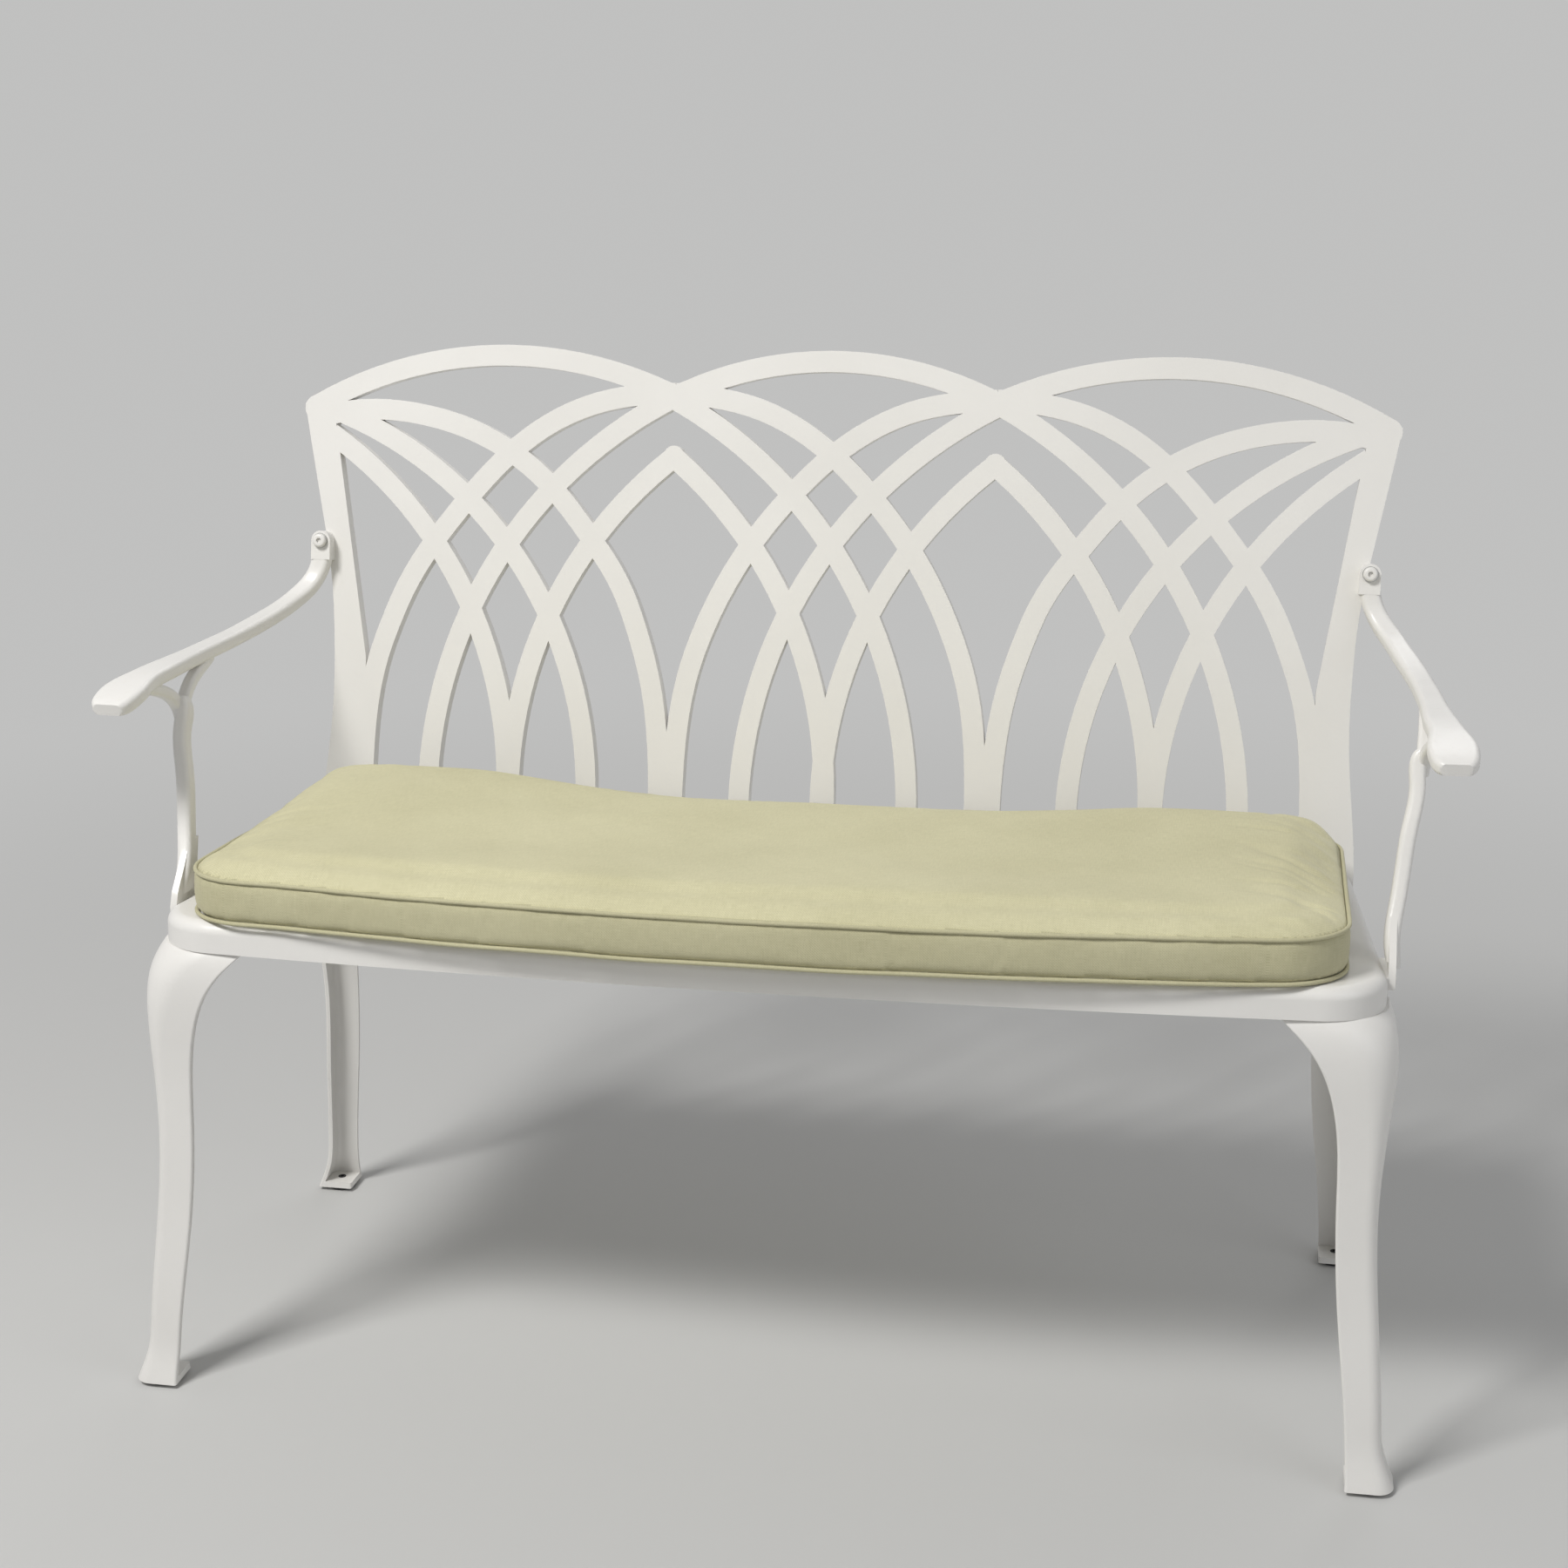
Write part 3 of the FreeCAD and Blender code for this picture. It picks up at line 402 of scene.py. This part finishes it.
def crownAt(x, y):
    back = smoothStep(y, frontY + 0.10, rearY - 0.06)
    ends = smoothStep(abs(x), 0.10, 0.40) * (1 if x < 0 else cushion["rightCrownShare"])
    rear = cushion["rearCrown"] + (cushion["rearEndCrown"] - cushion["rearCrown"]) * ends
    return cushion["frontCrown"] * (1 - back) + rear * back


def topRise(x, y):
    depth = insideBy(x, y)[0]
    return crownAt(x, y) * (1 - (1 - min(max(depth, 0) / cushion["shoulder"], 1)) ** 2.2)


print("cushion outline", round(girth, 3), "m round")
cover = levelCopy("cushion_foam")
for v in cover.verts:
    if v.co.z > topSeam - 0.006:
        v.co.z = topSeam - 0.004
coverMesh = bpy.data.meshes.new("cushion_form")
cover.to_mesh(coverMesh)
cover.free()
pad = bpy.data.objects.new("cushion_form", coverMesh)
scene.collection.objects.link(pad)
remesh = pad.modifiers.new("remesh", "REMESH")
remesh.mode = "VOXEL"
remesh.voxel_size = cushion["voxel"]


def applyModifiers(piece):
    bpy.context.view_layer.update()
    graph = bpy.context.evaluated_depsgraph_get()
    baked = bpy.data.meshes.new_from_object(piece.evaluated_get(graph))
    piece.modifiers.clear()
    piece.data = baked
    return baked


# draw the remeshed form out to the true section: boxing upright on the seam line,
# top and underside meeting it exactly at the two seams
formed = applyModifiers(pad)
formLow = min(v.co.z for v in formed.vertices)
formTop = max(v.co.z for v in formed.vertices)
seam = pad.vertex_groups.new(name="seam")
for v in formed.vertices:
    depth, i = insideBy(v.co.x, v.co.y)
    toTop = formTop - v.co.z
    toLow = v.co.z - formLow
    skin = depth - coverOut[i]
    wanted = 0.0
    held = False
    if skin < min(toTop, toLow):
        share = toLow / (formTop - formLow)
        v.co.z = bottomSeam + share * (topSeam - bottomSeam)
        held = share < cushion["held"] or share > 1 - cushion["held"]
    elif skin >= cushion["rim"]:
        stretch = (cushion["drawn"] + coverOut[i]) / (cushion["drawn"] - cushion["rim"])
        wanted = (skin - cushion["rim"]) * stretch if skin < cushion["drawn"] else depth
    v.co.x += outward[i].x * (depth - wanted)
    v.co.y += outward[i].y * (depth - wanted)
    if toTop <= min(skin, toLow):
        v.co.z = topSeam + topRise(v.co.x, v.co.y)
        held = wanted < 0.004
    elif toLow <= min(skin, toTop):
        v.co.z = bottomSeam + (baseLevel - bottomSeam) * min(wanted / 0.006, 1.0)
        held = True
    seam.add([v.index], 1.0 if held else 0.0, "REPLACE")

# a short inflation with the seams held, kept to a few millimetres
puffing = {"frames": 20, "pressure": 4.0, "furthest": 0.004, "mass": 0.25,
           "tension": 12, "compression": 8, "shear": 6, "bending": 0.4}
rest = [v.co.copy() for v in formed.vertices]
puff = pad.modifiers.new("puff", "CLOTH")
puff.settings.quality = 5
puff.settings.mass = puffing["mass"]
puff.settings.tension_stiffness = puffing["tension"]
puff.settings.compression_stiffness = puffing["compression"]
puff.settings.shear_stiffness = puffing["shear"]
puff.settings.bending_stiffness = puffing["bending"]
puff.settings.use_pressure = True
puff.settings.uniform_pressure_force = puffing["pressure"]
puff.settings.effector_weights.gravity = 0
puff.settings.vertex_group_mass = "seam"
puff.point_cache.frame_start = 1
puff.point_cache.frame_end = puffing["frames"]
for step in range(1, puffing["frames"] + 1):
    scene.frame_set(step)
formed = applyModifiers(pad)
scene.frame_set(1)
for v, old in zip(formed.vertices, rest):
    move = v.co - old
    if move.length > puffing["furthest"]:
        v.co = old + move.normalized() * puffing["furthest"]
print("cushion puffed", len(formed.vertices), "points")
# the zip's place, since the boxing lies flat behind its tape
zipParts = {"pitch": 0.0021, "toothHigh": 0.0030, "toothThick": 0.0022, "tapeThick": 0.0008,
            "tapeIn": 0.0010, "tapeGap": 0.0004, "bareEnd": 0.007, "toothStep": 0.0007}
track = levelCopy("cushion_zip")
xs, ys, zs = zip(*[v.co for v in track.verts])
track.free()
tapeBack = min(ys) + zipParts["tapeIn"] - zipParts["tapeThick"] / 2
print("zip tape", round((rearY - tapeBack) * 1000, 2), "mm inside the rear seam line")
finer = pad.modifiers.new("finer", "SUBSURF")
finer.levels = finer.render_levels = 1
formed = applyModifiers(pad)


# lip and groove along the front seam, rucks at the ends and a soft unevenness
def topWrinkle(x, y, depth, i):
    front = smoothStep(-y, -(frontY + 0.16), -(frontY + 0.09))
    groove = math.exp(-((depth - cushion["grooveIn"]) / 0.011) ** 2) * cushion["grooveDeep"] * front
    lip = math.exp(-((depth - cushion["lipIn"]) / 0.009) ** 2) * cushion["lipHigh"] * front
    soft = noise.noise(Vector((x * 5, y * 8, 3))) * 0.0026 + noise.noise(Vector((x * 14, y * 20, 8))) * 0.0009
    endGap = halfX - abs(x)
    side = 1.0 if x > 0 else 0.5
    ruck = noise.noise(Vector((endGap * 8 + y * 5, y * 27 - endGap * 12, 5 if x > 0 else 9)))
    ruck = max(1 - abs(ruck) / 0.22, 0) * cushion["creases"] * side
    ruck *= smoothStep(-endGap, -0.12, -0.03) * smoothStep(depth, 0.003, 0.016)
    pucker = noise.noise(Vector((i * 0.35, depth * 30, 2))) * 0.0007 * (1 - smoothStep(depth, 0.012, 0.05))
    return lip - groove + soft * smoothStep(depth, 0.0, 0.05) - ruck + pucker * smoothStep(depth, 0.002, 0.008)


# how far the boxing stands out; it is pulled in where it meets either cord
def boxingOut(x, y, z, level, i):
    out = cushion["bulge"] + noise.noise(Vector((x * 9, y * 9, z * 22))) * 0.0014
    out = out * (1 - (abs(level - 0.5) * 2) ** 2.5) + noise.noise(Vector((i * 0.3, z * 60, 4))) * 0.0004
    return out - cushion["tuck"] * (math.exp(-((1 - level) / 0.07) ** 2) + math.exp(-(level / 0.07) ** 2))


for v in formed.vertices:
    x, y, z = v.co
    depth, i = insideBy(x, y)
    level = (z - bottomSeam) / (topSeam - bottomSeam)
    ripple = wave(i, upperSeed) * max(level, 0) + wave(i, lowerSeed) * max(1 - level, 0)
    v.co.z += ripple * (1 - smoothStep(depth, 0.0, 0.03)) if z > bottomSeam else 0
    if level > 0.97 and depth > 0.0025:
        v.co.z += topWrinkle(x, y, depth, i)
    elif depth < 0.006 and 0 < level < 1:
        out = boxingOut(x, y, z, level, i)
        v.co.x += outward[i].x * out
        v.co.y += outward[i].y * out
        if outward[i].y > 0.9:
            behind = 1 - smoothStep(abs(x), max(xs), max(xs) + 0.03)
            v.co.y -= max(v.co.y - tapeBack + zipParts["tapeGap"], 0) * behind
    v.co.z = max(v.co.z, baseLevel + 0.0002)


flatEnough = 0.62            # a face whose normal rises more than this is top or underside


def clothMap(mesh):
    uvs = mesh.uv_layers.new(name="cloth")
    for face in mesh.polygons:
        flat = abs(face.normal.z) > flatEnough
        spots = []
        for loop in face.loop_indices:
            co = mesh.vertices[mesh.loops[loop].vertex_index].co
            if flat:
                spots.append((co.x, co.y))
            else:
                spots.append((insideBy(co.x, co.y)[1] * girth / ringCount, co.z))
        widest = max(s[0] for s in spots)
        for loop, (u, w) in zip(face.loop_indices, spots):
            if not flat and widest - u > girth / 2:
                u += girth
            uvs.data[loop].uv = (u, w)


def finishPiece(mesh, name, material, turn=None, smooth=True):
    if turn is not None:
        mesh.transform(turn)
    mesh.materials.clear()
    mesh.materials.append(material)
    if smooth:
        for face in mesh.polygons:
            face.use_smooth = True
    piece = bpy.data.objects.new(name, mesh)
    scene.collection.objects.link(piece)
    return piece


clothMap(formed)
boxingFaces = [f.index for f in formed.polygons
               if abs(f.normal.z) < flatEnough and insideBy(f.center.x, f.center.y)[0] < 0.006]
bpy.data.objects.remove(pad)
coverPiece = finishPiece(formed, "cushion_cloth_cover", finishes["cushion_fabric"], seatTurn)
# the boxing faces take the darker cloth, painted shade
formed.materials.append(boxingClothPaintedShade)
for index in boxingFaces:
    formed.polygons[index].material_index = 1
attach(coverPiece, "cushion")
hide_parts("cushion_cover")
print("cushion cover", len(formed.polygons), "faces")

# foam core a little inside the cloth, its crown pressed flat under the top
core = levelCopy("cushion_foam")
inset = cushion["coreIn"]
for v in core.verts:
    depth, i = insideBy(v.co.x, v.co.y)
    if v.co.z > topSeam - inset:
        v.co.z = topSeam - inset + (v.co.z - topSeam + inset) / (foamTop - topSeam + inset) * inset
    if depth < 0.010:
        v.co.x -= outward[i].x * inset
        v.co.y -= outward[i].y * inset
    v.co.z = max(v.co.z, baseLevel + inset)
bmesh.ops.recalc_face_normals(core, faces=core.faces)
coreMesh = bpy.data.meshes.new("cushion_foam_core")
core.to_mesh(coreMesh)
core.free()
corePiece = finishPiece(coreMesh, "cushion_foam_core", finishes["foam"], seatTurn, smooth=False)
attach(corePiece, "cushion")
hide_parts("cushion_foam")


# piping: a covered cord laid round the seam
def piping(name, level, node, seed):
    form = bmesh.new()
    uvs = form.loops.layers.uv.new("cloth")
    sides = cushion["cordSides"]
    radius = cushion["pipingRadius"]
    rings = []
    steps = ringCount // 2
    for k in range(steps):
        i = k * 2
        p = edgeLine[i] + outward[i] * cushion["cordOut"]
        out = Vector((outward[i].x, outward[i].y, 0))
        spot = Vector((p.x, p.y, level + wave(i, seed)))
        along = Vector((-out.y, out.x, 0))
        basis = Matrix((out, Vector((0, 0, 1)), along)).transposed().to_4x4()
        made = bmesh.ops.create_circle(form, segments=sides, radius=radius,
                                       matrix=Matrix.Translation(spot) @ basis)
        rings.append(made["verts"])
    for k in range(steps):
        a, b = rings[k], rings[(k + 1) % steps]
        for j in range(sides):
            quad = form.faces.new((a[j], b[j], b[(j + 1) % sides], a[(j + 1) % sides]))
            for loop, (du, dv) in zip(quad.loops, ((0, 0), (1, 0), (1, 1), (0, 1))):
                loop[uvs].uv = ((k + du) * girth / steps, (j + dv) * 2 * math.pi * radius / sides)
    bmesh.ops.recalc_face_normals(form, faces=form.faces)
    mesh = bpy.data.meshes.new(name)
    form.to_mesh(mesh)
    form.free()
    piece = finishPiece(mesh, name, pipingClothPaintedShade, seatTurn)
    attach(piece, "cushion")
    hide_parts(node)


piping("cushion_piping_upper", topSeam, "cushion_piping_top", upperSeed)
piping("cushion_piping_lower", bottomSeam, "cushion_piping_bottom", lowerSeed)
seamLength = sum((b - a).length for a, b in zip(edgeLine, edgeLine[1:] + edgeLine[:1]))
print("piping laid,", round(seamLength, 3), "m each, cover", round(2 * halfX, 3), "x",
      round(rearY - frontY, 3), "m")


# zip: woven tape with interlocking teeth down its middle
zipForm = bmesh.new()
tapeMid = Vector(((min(xs) + max(xs)) / 2, min(ys) + zipParts["tapeIn"], (min(zs) + max(zs)) / 2))
size = (max(xs) - min(xs), zipParts["tapeThick"], max(zs) - min(zs))
bmesh.ops.create_cube(zipForm, size=1, matrix=Matrix.Translation(tapeMid) @ Matrix.Diagonal((*size, 1)))
teeth = int((size[0] - 2 * zipParts["bareEnd"]) / zipParts["pitch"])
shape = Matrix.Diagonal((zipParts["pitch"] * 0.62, zipParts["toothThick"], zipParts["toothHigh"], 1))
for k in range(teeth):
    side = zipParts["toothStep"] if k % 2 else -zipParts["toothStep"]
    spot = Vector((min(xs) + zipParts["bareEnd"] + k * zipParts["pitch"],
                   tapeMid.y + zipParts["toothThick"] / 2, tapeMid.z + side))
    made = bmesh.ops.create_cube(zipForm, size=1, matrix=Matrix.Translation(spot) @ shape)
    for face in {f for v in made["verts"] for f in v.link_faces}:
        face.material_index = 1
zipMesh = bpy.data.meshes.new("cushion_zip_track")
zipForm.to_mesh(zipMesh)
zipForm.free()
zipPiece = finishPiece(zipMesh, "cushion_zip_track", finishes["zip_tape"], seatTurn, smooth=False)
zipMesh.materials.append(finishes["zip_metal"])
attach(zipPiece, "cushion")
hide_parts("cushion_zip")
print("zip made,", teeth, "teeth")


# floor and backdrop; away from the bench the floor passes into the backdrop
studio = {
    "floor": (0.56, 0.56, 0.552),
    "backdrop": (0.53, 0.53, 0.525),
    "floorSize": 24,
    "fadeFrom": 0.7,
    "fadeTo": 2.6,
    "world": (0.31, 0.31, 0.3131, 1),
}
floorForm = bmesh.new()
bmesh.ops.create_grid(floorForm, x_segments=2, y_segments=2, size=studio["floorSize"])
floorMesh = bpy.data.meshes.new("studio_floor")
floorForm.to_mesh(floorMesh)
floorForm.free()
floorPiece = bpy.data.objects.new("studio_floor", floorMesh)
scene.collection.objects.link(floorPiece)
floorMat, floorTree, floorShader = startMaterial("studio_floor")
feed(floorTree, floorShader, Base_Color=(*studio["floor"], 1), Roughness=0.9, Specular_IOR_Level=0.1)
away = add(floorTree, "ShaderNodeVectorMath", {"operation": "LENGTH"}, i0=objectPlace(floorTree))
paling = add(floorTree, "ShaderNodeMapRange", {"interpolation_type": "SMOOTHSTEP"},
             i0=away.outputs["Value"], i1=studio["fadeFrom"], i2=studio["fadeTo"], i3=0.0, i4=1.0)
plain = add(floorTree, "ShaderNodeEmission", Color=(*studio["backdrop"], 1), Strength=1.0)
blend = add(floorTree, "ShaderNodeMixShader", i0=paling.outputs[0], i1=floorShader.outputs[0],
            i2=plain.outputs[0])
feed(floorTree, floorTree.nodes["Material Output"], Surface=blend.outputs[0])
floorMesh.materials.append(floorMat)

# soft lamps: place, aim, size, power and colour
lamps = {
    "key": ((-1.6, -2.1, 3.6), (0, 0, 0.45), (1.1, 0.9), 128, (1.0, 0.99, 0.97)),
    "fill": ((2.6, -1.4, 1.9), (0, 0, 0.4), (2.0, 2.0), 13, (0.95, 0.975, 1.0)),
    "back": ((0.4, 2.8, 2.6), (0, 0, 0.5), (2.4, 1.4), 18, (1, 1, 1)),
}
for name, (spot, aim, size, power, colour) in lamps.items():
    data = bpy.data.lights.new(name, "AREA")
    data.shape = "RECTANGLE"
    data.size, data.size_y = size
    data.energy = power
    data.color = colour
    facing = (Vector(aim) - Vector(spot)).to_track_quat("-Z", "Y").to_matrix().to_4x4()
    lamp = bpy.data.objects.new(name, data)
    lamp.matrix_world = Matrix.Translation(spot) @ facing
    scene.collection.objects.link(lamp)

# the camera and glossy paint see the backdrop colour, the bench is lit by a dimmer world
world = bpy.data.worlds.new("studio")
world.use_nodes = True
sky = world.node_tree
ray = add(sky, "ShaderNodeLightPath").outputs
seen = calc(sky, "MAXIMUM", ray["Is Camera Ray"], ray["Is Glossy Ray"])
feed(sky, sky.nodes["Background"], i0=mixColour(sky, seen, studio["world"], (*studio["backdrop"], 1)))
scene.world = world

view = {
    "lens": 60.45,
    "sensor": 36,
    "place": (0.40855, -2.27456, 1.18151),
    "right": (0.98394, 0.17847, -0.00239),
    "down": (0.04680, -0.27089, -0.96147),
    "ahead": (-0.17224, 0.94592, -0.27489),
}
cameraData = bpy.data.cameras.new("camera")
cameraData.lens = view["lens"]
cameraData.sensor_width = view["sensor"]
cameraData.clip_end = 60
camera = bpy.data.objects.new("camera", cameraData)
axes = Matrix((Vector(view["right"]), -Vector(view["down"]), -Vector(view["ahead"])))
camera.matrix_world = Matrix.Translation(view["place"]) @ axes.transposed().to_4x4()
scene.collection.objects.link(camera)
scene.camera = camera
scene.view_settings.view_transform = "Standard"
print("studio set")
